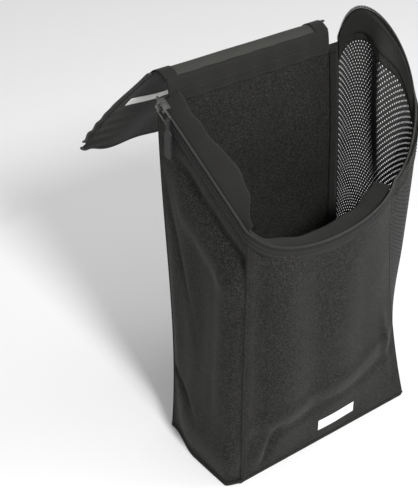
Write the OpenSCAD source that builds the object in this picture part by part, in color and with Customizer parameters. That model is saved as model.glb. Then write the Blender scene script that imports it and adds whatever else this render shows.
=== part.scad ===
// Upright zip-top bag for one pair of shoes, standing open with its flap thrown back.
// +X is the bag's right, +Y its back, +Z up, and the origin is the middle of the base on the ground.

/* [Body] */
// Width of the base
base_w = 220; // [180:1:270]
// Depth of the base from front to back
base_d = 110; // [90:1:135]
// Corner radius of the base
base_r = 6; // [3:0.5:10]
// Height of the back panel
back_h = 350; // [330:1:425]
// How far the top of the back panel leans backwards
back_lean = 12; // [4:1:20]
// Thickness of the woven cloth as sewn
cloth_t = 1.2; // [0.8:0.1:1.6]
// Thickness of the base, cloth and foam together
base_t = 2.4; // [1.6:0.1:4]
// Clearance left along each seam between two panels
seam_gap = 0.4; // [0.3:0.05:0.6]

/* [Mouth] */
// Height of the front left corner of the mouth
left_corner_z = 272; // [240:1:300]
// Height of the front right corner of the mouth
right_corner_z = 249; // [220:1:270]
// Depth of the U cut in the front panel
front_dip = 43; // [20:1:60]
// How far the right gusset flares out sideways at its rim
flare_out = 26; // [8:1:40]
// How far the right gusset's rim rises above the back panel
flare_rise = 60; // [30:1:80]

/* [Vent] */
// Share of the right gusset's height where the mesh begins
mesh_from = 0.27; // [0.2:0.01:0.4]
// Share of the right gusset's height where the mesh ends
mesh_to = 0.93; // [0.85:0.01:0.95]
// Thickness of the mesh
mesh_t = 0.8; // [0.6:0.1:1.2]

/* [Zip] */
// Width of the zip tape
tape_w = 11; // [8:0.5:14]
// Thickness of the zip tape
tape_t = 0.8; // [0.6:0.1:1]
// Width of one row of teeth
coil_w = 3; // [2:0.5:4]
// Thickness of the teeth
coil_t = 2.2; // [1.8:0.1:3]
// Length of the slider
slider_l = 12; // [9:0.5:16]
// Width of the slider
slider_w = 6.5; // [5.5:0.5:7]
// Thickness of each slider plate
plate_t = 1.3; // [1:0.1:2]
// Running clearance between the slider and the teeth
run_gap = 0.4; // [0.3:0.05:0.6]
// Distance of the parked slider's middle from the back corner
park = 9; // [8:0.5:24]
// Length of the pull ring
ring_l = 14; // [10:0.5:18]
// Wire radius of the pull ring
ring_wire_r = 0.9; // [0.6:0.1:1.2]
// Length of the puller
puller_l = 36; // [24:1:50]
// Width of the puller
puller_w = 9; // [7:0.5:12]
// Thickness of the puller
puller_t = 2; // [1.6:0.1:3]

/* [Flap] */
// Height of the flap's hinge line above the back panel's top edge
hinge_rise = 13; // [12:0.5:16]
// Length of the fold between the hinge line and the crest
fold_l = 14; // [11:0.5:18]
// Length of the flap from the crest to its front fold
lid_l = 150; // [146:1:184]
// Length of the flap's end at its sides
end_l = 8; // [6:1:14]
// How much further the end reaches in the middle
end_dip = 36; // [15:1:44]
// Thickness of the flap's coated lining
lining_t = 0.6; // [0.5:0.1:1]
// Width of the woven border around the lining
border_w = 16; // [10:1:22]

/* [Trim] */
// Width of the woven facing inside the mouth
facing_w = 18; // [12:1:24]
// Width of the seam bindings inside the bag
binding_w = 9; // [6:0.5:12]
// Length of the plain light patch on the front
patch_l = 48; // [30:1:60]
// Height of the plain light patches
patch_h = 14; // [8:1:20]
// Thickness of the printed patches
patch_t = 0.4; // [0.3:0.1:0.8]

/* [Hidden] */

cloth = "#2b2b29";
coated = "#4a4b45";
tape_black = "#1b1b1b";
metal = "#6d6d6a";
pale = "#d9d9d4";

layer = 0.3;
edge = cloth_t / 2 + seam_gap;
half_w = base_w / 2;
half_d = base_d / 2;
floor_z = base_t + layer;
back_y = half_d + back_lean - 1;
tiny = 0.002;

// Corners of the four walls, bottom then top
foot_fl = [-half_w + 3, -half_d + 1.5, floor_z];
foot_fr = [half_w - 3, -half_d + 1.5, floor_z];
foot_bl = [-half_w + 3, half_d - 1.5, floor_z];
foot_br = [half_w - 3, half_d - 1.5, floor_z];
top_fl = [-half_w + 3, -half_d - 2, left_corner_z];
top_fr = [half_w - 26, -half_d + 18, right_corner_z];
top_bl = [-half_w + 3, back_y, back_h];
top_br = [half_w - 6, back_y, back_h];
flare_top = [half_w + flare_out, -6, (right_corner_z + back_h) / 2 + 12];

function unit(v) = v / norm(v);
function mix(a, b, t) = a + (b - a) * t;
function curve(p, t) = pow(1 - t, 3) * p[0] + 3 * pow(1 - t, 2) * t * p[1]
    + 3 * (1 - t) * t * t * p[2] + pow(t, 3) * p[3];

// Rim of the mouth: straight on the left, a U at the front and a flare on the right
rim_left = function(t) mix(top_fl, top_bl, t);
front_curve = [top_fl, top_fl + [30, -18, -front_dip], [half_w - 58, top_fr.y - 26, right_corner_z - 19], top_fr];
rim_front = function(t) curve(front_curve, t);
flare_share = 0.36;
flare_a = [top_fr, top_fr + [24, 7, 1], flare_top + [-4, -14, -28], flare_top];
flare_b = [flare_top, flare_top + [2, 17, flare_rise], top_br + [9, -3, flare_rise + 8], top_br];
rim_right = function(t) t < flare_share
    ? curve(flare_a, t / flare_share)
    : curve(flare_b, (t - flare_share) / (1 - flare_share));
rim_back = function(t) mix(top_bl, top_br, t);

// Upright seams, from the base to the rim
seam_fl = function(t) curve([foot_fl, [foot_fl.x - 1, foot_fl.y, left_corner_z / 3],
    [top_fl.x, top_fl.y + 1, left_corner_z * 2 / 3], top_fl], t);
seam_fr = function(t) curve([foot_fr, [half_w - 24, foot_fr.y + 4, right_corner_z / 3],
    [top_fr.x - 6, top_fr.y - 4, right_corner_z * 2 / 3], top_fr], t);
seam_bl = function(t) curve([foot_bl, [foot_bl.x + 12, foot_bl.y + 2, back_h / 3],
    [top_bl.x - 4, top_bl.y - 6, back_h * 2 / 3], top_bl], t);
seam_br = function(t) curve([foot_br, [foot_br.x, foot_br.y + 3, back_h / 3],
    [top_br.x + 5, top_br.y - 6, back_h * 2 / 3], top_br], t);

// A wall spanned between its foot line, rim and two seams, bulged at its middle
function wall(foot_a, foot_b, rim, side_a, side_b, bulge) = function(u, v)
    (1 - v) * mix(foot_a, foot_b, u) + v * rim(u)
    + (1 - u) * side_a(v) + u * side_b(v)
    - (1 - u) * (1 - v) * foot_a - u * (1 - v) * foot_b - (1 - u) * v * rim(0) - u * v * rim(1)
    + bulge * sin(180 * u) * sin(180 * v);

front_wall = wall(foot_fl, foot_fr, rim_front, seam_fl, seam_fr, [0, -8, 0]);
left_wall = wall(foot_bl, foot_fl, function(t) rim_left(1 - t), seam_bl, seam_fl, [-2, 0, 0]);
back_wall = wall(foot_br, foot_bl, function(t) rim_back(1 - t), seam_br, seam_bl, [0, 2, 0]);
right_wall = wall(foot_fr, foot_br, rim_right, seam_fr, seam_br, [6, 0, 0]);

// The hinge lines of the flap, seen from the side as [y, z]
hinge_1 = [back_y, back_h + hinge_rise];
fold_angle = 33;
lid_angle = -46;
function ray(a, d) = [cos(a), sin(a)] * d;
hinge_2 = hinge_1 + ray(fold_angle, fold_l) - ray(fold_angle + 90, cloth_t / 2);
stack_t = cloth_t + layer + lining_t;
hinge_3 = hinge_2 + ray(lid_angle, lid_l) + ray(lid_angle + 90, stack_t);
flap_left = -half_w + 11;
flap_right = half_w - 19;
spread = 6;
lid_sag = 2;
hinge_gap = 0.2;
lining_start = 4;

// The flap's leaves, u across from left to right and v away from the hinge line
fold_leaf = function(u, v)
    let (p = hinge_1 + ray(fold_angle, mix(0, fold_l - hinge_gap, v)) - ray(fold_angle + 90, cloth_t / 2))
    [mix(flap_left, flap_right, u), p.x, p.y];
lid_leaf = function(u, v)
    let (p = hinge_2 + ray(lid_angle, mix(hinge_gap, lid_l - hinge_gap, v))
             + ray(lid_angle + 90, lid_sag * sin(180 * v)))
    [mix(flap_left - spread * v, flap_right + spread * v / 3, u), p.x, p.y];
end_leaf = function(u, v)
    let (reach = end_l + end_dip * pow(sin(180 * u), 0.8),
         p = hinge_3 + ray(lid_angle, mix(hinge_gap, reach, v)) - ray(lid_angle + 90, stack_t))
    [mix(flap_left - spread, flap_right + spread / 3, u), p.x, p.y];

// Point on surface f at (u, v), moved out by d along its normal
function raised(f, u, v, d) =
    let (e = 0.004,
         u1 = min(u + e, 1), u0 = max(u - e, 0), v1 = min(v + e, 1), v0 = max(v - e, 0))
    f(u, v) + d * unit(cross(f(u1, v) - f(u0, v), f(u, v1) - f(u, v0)));

// How much of u or v a length covers along the surface's lower, upper or side edges
function share_u(f, v, len) = len / norm(f(0.55, v) - f(0.45, v)) * 0.1;
function share_v(f, u, len) = len / norm(f(u, 0.55) - f(u, 0.45)) * 0.1;

// A closed sheet on surface f, between the offsets low and high, nu by nv cells
module sheet(f, u_range, v_range, low, high, nu, nv) {
    columns = nu + 1;
    count = columns * (nv + 1);
    points = [for (d = [low, high]) for (j = [0:nv]) for (i = [0:nu])
        raised(f, mix(u_range[0], u_range[1], i / nu), mix(v_range[0], v_range[1], j / nv), d)];
    function at(i, j, k) = k * count + j * columns + i;
    inner = [for (j = [0:nv - 1]) for (i = [0:nu - 1])
        each [[at(i, j, 0), at(i + 1, j, 0), at(i + 1, j + 1, 0)],
              [at(i, j, 0), at(i + 1, j + 1, 0), at(i, j + 1, 0)]]];
    outer = [for (j = [0:nv - 1]) for (i = [0:nu - 1])
        each [[at(i, j, 1), at(i + 1, j + 1, 1), at(i + 1, j, 1)],
              [at(i, j, 1), at(i, j + 1, 1), at(i + 1, j + 1, 1)]]];
    low_edge = [for (i = [0:nu - 1])
        each [[at(i, 0, 0), at(i, 0, 1), at(i + 1, 0, 1)], [at(i, 0, 0), at(i + 1, 0, 1), at(i + 1, 0, 0)]]];
    high_edge = [for (i = [0:nu - 1])
        each [[at(i, nv, 0), at(i + 1, nv, 1), at(i, nv, 1)], [at(i, nv, 0), at(i + 1, nv, 0), at(i + 1, nv, 1)]]];
    left_edge = [for (j = [0:nv - 1])
        each [[at(0, j, 0), at(0, j + 1, 1), at(0, j, 1)], [at(0, j, 0), at(0, j + 1, 0), at(0, j + 1, 1)]]];
    right_edge = [for (j = [0:nv - 1])
        each [[at(nu, j, 0), at(nu, j, 1), at(nu, j + 1, 1)], [at(nu, j, 0), at(nu, j + 1, 1), at(nu, j + 1, 0)]]];
    polyhedron(points, concat(inner, outer, low_edge, high_edge, left_edge, right_edge), convexity = 10);
}

// A closed bar through rings of four points each
module ribbon(rings) {
    n = len(rings);
    points = [for (r = rings) each r];
    sides = [for (j = [0:n - 2]) for (i = [0:3])
        let (a = j * 4 + i, b = j * 4 + (i + 1) % 4) each [[a, a + 4, b + 4], [a, b + 4, b]]];
    last = (n - 1) * 4;
    ends = [[0, 1, 2], [0, 2, 3], [last, last + 2, last + 1], [last, last + 3, last + 2]];
    polyhedron(points, concat(sides, ends), convexity = 10);
}

// A strip that follows the upper edge of wall f, from drop_a to drop_b below the rim
module rim_strip(f, u_range, drop_a, drop_b, low, high, n) {
    ribbon([for (i = [0:n])
        let (u = mix(u_range[0], u_range[1], i / n),
             down = unit(f(u, 0.9) - f(u, 1)),
             out = unit(cross(f(min(u + 0.01, 1), 1) - f(max(u - 0.01, 0), 1), -down)),
             p = f(u, 1))
        [p + down * drop_a + out * low, p + down * drop_a + out * high,
         p + down * drop_b + out * high, p + down * drop_b + out * low]]);
}

// A wall's cloth, trimmed clear of the two walls beside it
module wall_sheet(f, v_from, v_to, thick, nu, nv) {
    trim = share_u(f, 0.5, edge);
    sheet(f, [trim, 1 - trim], [v_from, v_to], -thick / 2, thick / 2, nu, nv);
}

module base_panel() {
    color(cloth)
    linear_extrude(base_t)
    hull() {
        for (x = [-1, 1], y = [-1, 1])
            translate([x * (half_w - base_r), y * (half_d - base_r)])
            circle(r = base_r, $fn = 48);
    }
}

module front_panel() {
    color(cloth)
    wall_sheet(front_wall, 0, 1, cloth_t, 16, 12);
}

module back_panel() {
    color(cloth)
    wall_sheet(back_wall, 0, 1, cloth_t, 6, 10);
}

module left_gusset() {
    color(cloth)
    wall_sheet(left_wall, 0, 1, cloth_t, 8, 12);
}

// Share of the height left open between the mesh and the cloth beside it
band_gap = 0.006;

module right_gusset_lower() {
    color(cloth)
    wall_sheet(right_wall, 0, mesh_from - band_gap / 2, cloth_t, 8, 4);
}

module right_mesh_vent() {
    color(tape_black)
    wall_sheet(right_wall, mesh_from, mesh_to - band_gap / 2, mesh_t, 12, 12);
}

module right_gusset_band() {
    color(cloth)
    wall_sheet(right_wall, mesh_to, 1, cloth_t, 16, 2);
}

// An inside binding along a seam of wall f, lying flat on the cloth
module seam_binding(f, at_start, v_to) {
    near = share_u(f, 0.5, edge + 1.6);
    far = share_u(f, 0.5, edge + 1.6 + binding_w);
    inner = -cloth_t / 2 - layer;
    color(tape_black)
    sheet(f, at_start ? [near, far] : [1 - far, 1 - near], [0.012, v_to], inner - 1, inner, 1, 14);
}

module front_left_binding() {
    seam_binding(front_wall, true, 0.9);
}

module front_right_binding() {
    seam_binding(front_wall, false, 0.9);
}

module back_left_binding() {
    seam_binding(back_wall, false, 0.97);
}

module back_right_binding() {
    seam_binding(back_wall, true, 0.97);
}

module mesh_seam_tape() {
    out = cloth_t / 2 + 2 * layer;
    half = share_v(right_wall, 0.5, binding_w / 2);
    color(tape_black)
    sheet(right_wall, [0.04, 0.96], [mesh_from - half, mesh_from + half], -out - 0.8, -out, 8, 2);
}

// Facing inside the mouth: it slopes in from the rim on the left and front, and lies
// against the mesh on the right
module inward_facing(f, u_range, lean, n) {
    color(cloth)
    ribbon([for (i = [0:n])
        let (u = mix(u_range[0], u_range[1], i / n),
             p = f(u, 1),
             along = unit(f(min(u + 0.01, 1), 1) - f(max(u - 0.01, 0), 1)),
             inward = unit(cross([0, 0, 1], along)),
             start = p + inward * (cloth_t / 2 + layer) - [0, 0, 3],
             finish = start + inward * facing_w + [0, 0, lean],
             thick = [0, 0, -cloth_t])
        [start, finish, finish + thick, start + thick]]);
}

module left_facing() {
    inward_facing(left_wall, [0.03, 0.97], 2, 2);
}

module front_facing() {
    inward_facing(front_wall, [0.09, 0.93], 2, 16);
}

module right_facing() {
    inner = -cloth_t / 2 - 2 * layer;
    far = share_v(right_wall, 0.6, facing_w);
    color(cloth)
    sheet(right_wall, [0.05, 0.95], [1 - far, 0.995], inner - 1, inner, 18, 1);
}

// The zip tape lies outside the cloth and stands above the rim, with the teeth on its edge
tape_low = cloth_t / 2 + layer;
teeth_mid = tape_low + tape_t / 2;
slider_low = coil_w / 2 + 0.7;
teeth_rise = slider_low + run_gap;

module along_rim(f, u_range, n, low_edge, high_edge, thick) {
    rim_strip(f, u_range, -high_edge, -low_edge, teeth_mid - thick / 2, teeth_mid + thick / 2, n);
}

// Share of the left rim that the end stop takes at the back corner
stop_share = 0.02;

module around_mouth(low_edge, high_edge, thick) {
    along_rim(left_wall, [stop_share, 0.992], 2, low_edge, high_edge, thick);
    along_rim(front_wall, [0.014, 0.982], 20, low_edge, high_edge, thick);
    along_rim(right_wall, [0.014, 0.988], 28, low_edge, high_edge, thick);
}

module body_zip_tape() {
    tape_top = teeth_rise - coil_w / 2 - 0.1;
    color(tape_black)
    around_mouth(tape_top - tape_w, tape_top, tape_t);
}

module body_zip_teeth() {
    color(tape_black)
    around_mouth(teeth_rise - coil_w / 2, teeth_rise + coil_w / 2, coil_t);
}

module zip_end_stops() {
    low_edge = teeth_rise - coil_w / 2;
    high_edge = teeth_rise + coil_w / 2;
    color(metal) {
        along_rim(left_wall, [0.002, stop_share - 0.003], 1, low_edge, high_edge, coil_t);
        along_rim(right_wall, [0.991, 0.999], 1, low_edge, high_edge, coil_t);
    }
}

// Direction of the straight zip on the left, from the back corner down to the front
run = unit(top_fl - top_bl);
run_up = unit(cross([-1, 0, 0], run));

// Places its children on the left zip: X along the zip, Y across it upwards, Z outwards
module on_left_zip(along) {
    multmatrix([[run.x, run_up.x, -1, top_bl.x + run.x * along],
        [run.y, run_up.y, 0, top_bl.y + run.y * along],
        [run.z, run_up.z, 0, top_bl.z + run.z * along],
        [0, 0, 0, 1]])
    translate([0, teeth_rise, teeth_mid])
    children();
}

slider_inside = coil_t + 2 * run_gap;
plate_top = slider_inside / 2 + plate_t;
crown_w = 3;
ring_z = plate_top + run_gap + ring_wire_r;
ring_w = puller_w + 2;

module slider_body() {
    flange_y = coil_w / 2 + run_gap;
    color(metal)
    on_left_zip(park)
    difference() {
        union() {
            for (z = [-plate_top, slider_inside / 2])
                translate([-slider_l / 2, -slider_low, z])
                cube([slider_l, slider_w, plate_t]);
            // The closed side of the slider joins its two plates beyond the teeth
            translate([-slider_l / 2, flange_y, -plate_top])
            cube([slider_l, slider_w - slider_low - flange_y, 2 * plate_top]);
            // Crown that holds the pull ring
            translate([-slider_l / 4, -crown_w / 2, plate_top - tiny])
            cube([slider_l / 2, crown_w, ring_z - plate_top + ring_wire_r + 2 * run_gap + 0.8]);
        }
        translate([0, 0, ring_z])
        rotate([90, 0, 0])
        cylinder(r = ring_wire_r + 0.1, h = 2 * slider_w, center = true, $fn = 32);
    }
}

// Wire ring through the crown; its far bar carries the puller
module pull_ring() {
    side_r = ring_wire_r * 0.85;
    color(metal)
    on_left_zip(park)
    translate([0, 0, ring_z])
    union() {
        for (x = [0, ring_l])
            translate([x, 0, 0])
            rotate([90, 0, 0])
            cylinder(r = ring_wire_r, h = ring_w, center = true, $fn = 24);
        for (y = [side_r - ring_w / 2, ring_w / 2 - side_r])
            translate([0, y, 0])
            rotate([0, 90, 0])
            cylinder(r = side_r, h = ring_l, $fn = 24);
    }
}

// Moulded puller: an eye round the ring's far bar and a tab that hangs straight down
module puller() {
    eye_clear = 0.25;
    eye_r = ring_wire_r + eye_clear + 0.9;
    eye_w = puller_w * 0.7;
    neck_w = 3;
    tilt = atan2(run.z, -run.y) + 90;
    color(tape_black)
    on_left_zip(park)
    translate([ring_l, 0, ring_z])
    difference() {
        union() {
            rotate([90, 0, 0])
            cylinder(r = eye_r, h = eye_w, center = true, $fn = 32);
            rotate([0, 0, -tilt])
            translate([eye_r / 2, -neck_w / 2, -puller_t / 2])
            cube([ring_w - eye_r / 2, neck_w, puller_t]);
            rotate([0, 0, -tilt])
            hull() {
                translate([ring_w - 1, 0, 0])
                cube([2, neck_w, puller_t], center = true);
                for (x = [ring_w + 3, puller_l - 2], side = [-1, 1])
                    translate([x, side * (puller_w / 2 - 2), -puller_t / 2])
                    cylinder(r = 2, h = puller_t, $fn = 32);
            }
        }
        rotate([90, 0, 0])
        cylinder(r = ring_wire_r + eye_clear, h = 3 * puller_w, center = true, $fn = 32);
    }
}

// Textured strip that laps the back panel's top edge inside and rises to the hinge line
module hinge_strip() {
    lap = 5;
    inside_y = back_y - cloth_t / 2 - 2 * layer;
    top_z = hinge_1.y - cloth_t / 2 - 0.7;
    color(cloth)
    translate([flap_left, 0, 0])
    rotate([90, 0, 90])
    linear_extrude(flap_right - flap_left)
    polygon([[inside_y - cloth_t, back_h - lap], [inside_y, back_h - lap], [inside_y, back_h + layer],
        [back_y + cloth_t / 2, back_h + layer], [back_y + cloth_t / 2, top_z],
        [back_y - cloth_t / 2, top_z], [inside_y - cloth_t, back_h + 2 * layer + cloth_t]]);
}

module leaf_cloth(f, nu, nv) {
    color(cloth)
    sheet(f, [0, 1], [0, 1], 0, cloth_t, nu, nv);
}

module leaf_lining(f, u_range, v_range, nu, nv) {
    color(coated)
    sheet(f, u_range, v_range, cloth_t + layer, stack_t, nu, nv);
}

module flap_fold() {
    leaf_cloth(fold_leaf, 2, 2);
}

module flap_fold_lining() {
    leaf_lining(fold_leaf, [0.02, 0.98], [lining_start / fold_l, 1], 2, 2);
}

module flap_lid() {
    leaf_cloth(lid_leaf, 2, 8);
}

module flap_lid_lining() {
    leaf_lining(lid_leaf, [0.02, 0.98], [0, 1], 2, 8);
}

module flap_border() {
    share = border_w / (flap_right - flap_left);
    color(cloth)
    for (u_range = [[0.005, share], [1 - share, 0.995]])
        sheet(lid_leaf, u_range, [0.02, 0.98], stack_t + layer, stack_t + layer + 0.8, 1, 8);
}

module flap_end() {
    leaf_cloth(end_leaf, 20, 2);
}

module flap_end_lining() {
    leaf_lining(end_leaf, [0.02, 0.98], [0, 0.94], 20, 2);
}

// Zip along the flap's edge: the tape continues the cloth and the teeth stand on its edge
edge_tape_w = 4;
edge_teeth_gap = 0.1;

module side_bar(u, out_from, out_to, thick) {
    side = u == 0 ? -1 : 1;
    ribbon([for (i = [0:8])
        let (v = mix(0.01, 0.99, i / 8),
             a = raised(lid_leaf, u, v, cloth_t / 2 - thick / 2),
             b = raised(lid_leaf, u, v, cloth_t / 2 + thick / 2),
             shift = [side, 0, 0])
        side < 0
            ? [a + shift * out_to, a + shift * out_from, b + shift * out_from, b + shift * out_to]
            : [a + shift * out_from, a + shift * out_to, b + shift * out_to, b + shift * out_from]]);
}

module flap_lid_zip_tape() {
    color(tape_black)
    for (u = [0, 1])
        side_bar(u, layer, layer + edge_tape_w, tape_t);
}

module flap_lid_zip_teeth() {
    start = layer + edge_tape_w + edge_teeth_gap;
    color(tape_black)
    for (u = [0, 1])
        side_bar(u, start, start + coil_w, coil_t);
}

module end_bar(out_from, out_to, thick) {
    rim_strip(end_leaf, [0.004, 0.996], -out_to, -out_from,
        cloth_t / 2 - thick / 2, cloth_t / 2 + thick / 2, 24);
}

module flap_end_zip_tape() {
    color(tape_black)
    end_bar(layer, layer + edge_tape_w, tape_t);
}

module flap_end_zip_teeth() {
    start = layer + edge_tape_w + edge_teeth_gap;
    color(tape_black)
    end_bar(start, start + coil_w, coil_t);
}

// Plain light patches, one low on the front and one on the flap's outer face
module front_patch() {
    u_mid = 0.56;
    half = share_u(front_wall, 0.1, patch_l / 2);
    low = share_v(front_wall, 0.5, 14);
    high = share_v(front_wall, 0.5, 14 + patch_h);
    color(pale)
    sheet(front_wall, [u_mid - half, u_mid + half], [low, high],
        cloth_t / 2 + 0.1, cloth_t / 2 + 0.1 + patch_t, 4, 1);
}

module flap_patch() {
    across = patch_l / (flap_right - flap_left);
    away = patch_h / lid_l;
    color(pale)
    sheet(lid_leaf, [0.05, 0.05 + across], [0.45, 0.45 + away], -0.1 - patch_t, -0.1, 4, 1);
}

base_panel();
front_panel();
back_panel();
left_gusset();
right_gusset_lower();
right_mesh_vent();
right_gusset_band();
front_left_binding();
front_right_binding();
back_left_binding();
back_right_binding();
mesh_seam_tape();
left_facing();
front_facing();
right_facing();
body_zip_tape();
body_zip_teeth();
zip_end_stops();
hinge_strip();
flap_fold();
flap_fold_lining();
flap_lid();
flap_lid_lining();
flap_border();
flap_end();
flap_end_lining();
flap_lid_zip_tape();
flap_lid_zip_teeth();
flap_end_zip_tape();
flap_end_zip_teeth();
slider_body();
pull_ring();
puller();
front_patch();
flap_patch();
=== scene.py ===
import math
import random
import bpy
import numpy as np
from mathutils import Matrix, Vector


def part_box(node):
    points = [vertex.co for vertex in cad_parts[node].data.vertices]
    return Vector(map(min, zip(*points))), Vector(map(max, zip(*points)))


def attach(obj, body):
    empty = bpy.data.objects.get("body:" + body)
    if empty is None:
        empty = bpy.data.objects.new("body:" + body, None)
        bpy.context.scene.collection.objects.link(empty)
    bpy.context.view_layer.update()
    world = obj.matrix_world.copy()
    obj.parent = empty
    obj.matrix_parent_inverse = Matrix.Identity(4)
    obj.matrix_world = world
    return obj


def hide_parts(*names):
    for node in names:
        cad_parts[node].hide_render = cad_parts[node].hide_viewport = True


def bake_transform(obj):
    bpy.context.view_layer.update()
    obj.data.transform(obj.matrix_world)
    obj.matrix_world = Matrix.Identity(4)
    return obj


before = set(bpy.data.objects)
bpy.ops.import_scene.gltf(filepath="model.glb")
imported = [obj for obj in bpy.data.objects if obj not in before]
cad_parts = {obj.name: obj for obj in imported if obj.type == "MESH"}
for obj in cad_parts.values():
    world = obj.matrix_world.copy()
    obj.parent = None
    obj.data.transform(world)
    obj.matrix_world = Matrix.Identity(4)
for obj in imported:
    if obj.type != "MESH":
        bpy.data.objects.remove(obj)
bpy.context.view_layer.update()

scene = bpy.context.scene
mm = 0.001

bag = {
    "clothThickness": 1.2 * mm,
    "leftCornerDrop": 78 * mm,     # how far the mouth's front left corner lies below the back edge
    "rightCornerDrop": 101 * mm,
    "frontDip": 43 * mm,
    "flareOut": 26 * mm,
    "flareRise": 60 * mm,
    "meshFrom": 0.27,              # shares of the right gusset's height
    "meshTo": 0.93,
    "footSag": 14 * mm,            # how far the left end of the base rolls out
}
flap = {
    "foldAngle": 33,
    "lidAngle": -46,
    "foldLength": 14 * mm,
    "lidLength": 150 * mm,
    "endLength": 8 * mm,
    "endDip": 36 * mm,
    "hingeRise": 13 * mm,
    "spread": 6 * mm,
    "bendRadius": 9 * mm,
    "leftInset": 11 * mm,
    "rightInset": 19 * mm,
}
zipper = {
    "rise": 2.6 * mm,
    "tapeWidth": 11 * mm,
    "toothPitch": 1.45 * mm,
    "toothSize": (0.95 * mm, 3.0 * mm, 2.2 * mm),   # along, across, thick
}
trim = {
    "facingWidth": 18 * mm,
    "bindingWidth": 9 * mm,
    "weltRadius": 0.9 * mm,
    "baseWeltRadius": 1.1 * mm,
    "patchHeight": 14 * mm,
    "stitchPitch": 3.2 * mm,
    "stitchLength": 2.2 * mm,
    "stitchRadius": 0.28 * mm,
}

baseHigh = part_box("base_panel")[1]
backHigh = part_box("back_panel")[1]
halfWidth = baseHigh.x
halfDepth = baseHigh.y
backTop = backHigh.z
backY = backHigh.y - bag["clothThickness"] / 2
floorZ = baseHigh.z + 0.3 * mm


def point(x, y, z):
    return np.array([x, y, z], float)


footFl = point(-halfWidth + 3 * mm, -halfDepth + 1.5 * mm, floorZ)
footFr = point(halfWidth - 3 * mm, -halfDepth + 1.5 * mm, floorZ)
footBl = point(-halfWidth + 3 * mm, halfDepth - 1.5 * mm, floorZ)
footBr = point(halfWidth - 3 * mm, halfDepth - 1.5 * mm, floorZ)
topFl = point(-halfWidth + 3 * mm, -halfDepth - 2 * mm, backTop - bag["leftCornerDrop"])
topFr = point(halfWidth - 26 * mm, -halfDepth + 18 * mm, backTop - bag["rightCornerDrop"])
topBl = point(-halfWidth + 3 * mm, backY, backTop)
topBr = point(halfWidth - 6 * mm, backY, backTop)
flareTop = point(halfWidth + bag["flareOut"], -6 * mm, (topFr[2] + backTop) / 2 + 12 * mm)


def mix(a, b, t):
    return a + (b - a) * np.asarray(t, float)[..., None]


def curve(p, t):
    t = np.asarray(t, float)[..., None]
    return (1 - t) ** 3 * p[0] + 3 * (1 - t) ** 2 * t * p[1] + 3 * (1 - t) * t * t * p[2] + t ** 3 * p[3]


def unit(v):
    return v / np.maximum(np.linalg.norm(v, axis=-1, keepdims=True), 1e-9)


def bump(x, centre, width):
    return np.exp(-((x - centre) / width) ** 2)


def smooth(x, low, high):
    t = np.clip((x - low) / (high - low), 0, 1)
    return t * t * (3 - 2 * t)


def rimLeft(t):
    return mix(topFl, topBl, t)


frontCurve = [topFl, topFl + point(30 * mm, -18 * mm, -bag["frontDip"]),
              point(halfWidth - 58 * mm, topFr[1] - 26 * mm, topFr[2] - 19 * mm), topFr]


def rimFront(t):
    return curve(frontCurve, t)


flareShare = 0.36
flareA = [topFr, topFr + point(24 * mm, 7 * mm, 1 * mm), flareTop + point(-4 * mm, -14 * mm, -28 * mm),
          flareTop]
flareB = [flareTop, flareTop + point(2 * mm, 17 * mm, bag["flareRise"]),
          topBr + point(9 * mm, -3 * mm, bag["flareRise"] + 8 * mm), topBr]


def rimRight(t):
    t = np.asarray(t, float)
    first = curve(flareA, np.clip(t / flareShare, 0, 1))
    second = curve(flareB, np.clip((t - flareShare) / (1 - flareShare), 0, 1))
    return np.where((t < flareShare)[..., None], first, second)


def rimBack(t):
    return mix(topBl, topBr, t)


def seamFl(t):
    return curve([footFl, point(footFl[0] - mm, footFl[1], topFl[2] / 3),
                  point(topFl[0], topFl[1] + mm, topFl[2] * 2 / 3), topFl], t)


def seamFr(t):
    return curve([footFr, point(halfWidth - 24 * mm, footFr[1] + 4 * mm, topFr[2] / 3),
                  point(topFr[0] - 6 * mm, topFr[1] - 4 * mm, topFr[2] * 2 / 3), topFr], t)


def seamBl(t):
    return curve([footBl, point(footBl[0] + 12 * mm, footBl[1] + 2 * mm, backTop / 3),
                  point(topBl[0] - 4 * mm, topBl[1] - 6 * mm, backTop * 2 / 3), topBl], t)


def seamBr(t):
    return curve([footBr, point(footBr[0], footBr[1] + 3 * mm, backTop / 3),
                  point(topBr[0] + 5 * mm, topBr[1] - 6 * mm, backTop * 2 / 3), topBr], t)


def footLeft(t):
    p = mix(footBl, footFl, t)
    t = np.asarray(t, float)
    p[..., 0] -= bag["footSag"] * smooth(t, 0, 0.5) * (1 - smooth(t, 0.9, 1.0)) * (0.75 + 0.25 * t)
    p[..., 1] -= 5 * mm * bump(t, 0.9, 0.1)
    return p


def footLine(a, b):
    return lambda t: mix(a, b, t)


def wall(foot, rim, sideA, sideB, bulge):
    def surface(u, v):
        u, v = np.broadcast_arrays(np.asarray(u, float), np.asarray(v, float))
        uu, vv = u[..., None], v[..., None]
        a, b, c, d = foot(0.0), foot(1.0), rim(0.0), rim(1.0)
        flat = ((1 - vv) * foot(u) + vv * rim(u) + (1 - uu) * sideA(v) + uu * sideB(v)
                - (1 - uu) * (1 - vv) * a - uu * (1 - vv) * b - (1 - uu) * vv * c - uu * vv * d)
        return flat + np.asarray(bulge) * (np.sin(np.pi * u) * np.sin(np.pi * v))[..., None]
    return surface


plainFront = wall(footLine(footFl, footFr), rimFront, seamFl, seamFr, (0, -8 * mm, 0))
plainLeft = wall(footLeft, lambda t: rimLeft(1 - np.asarray(t, float)), seamBl, seamFl, (-2 * mm, 0, 0))
plainBack = wall(footLine(footBr, footBl), lambda t: rimBack(1 - np.asarray(t, float)), seamBr, seamBl,
                 (0, 2 * mm, 0))
plainRight = wall(footLine(footFr, footBr), rimRight, seamFr, seamBr, (6 * mm, 0, 0))


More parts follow.
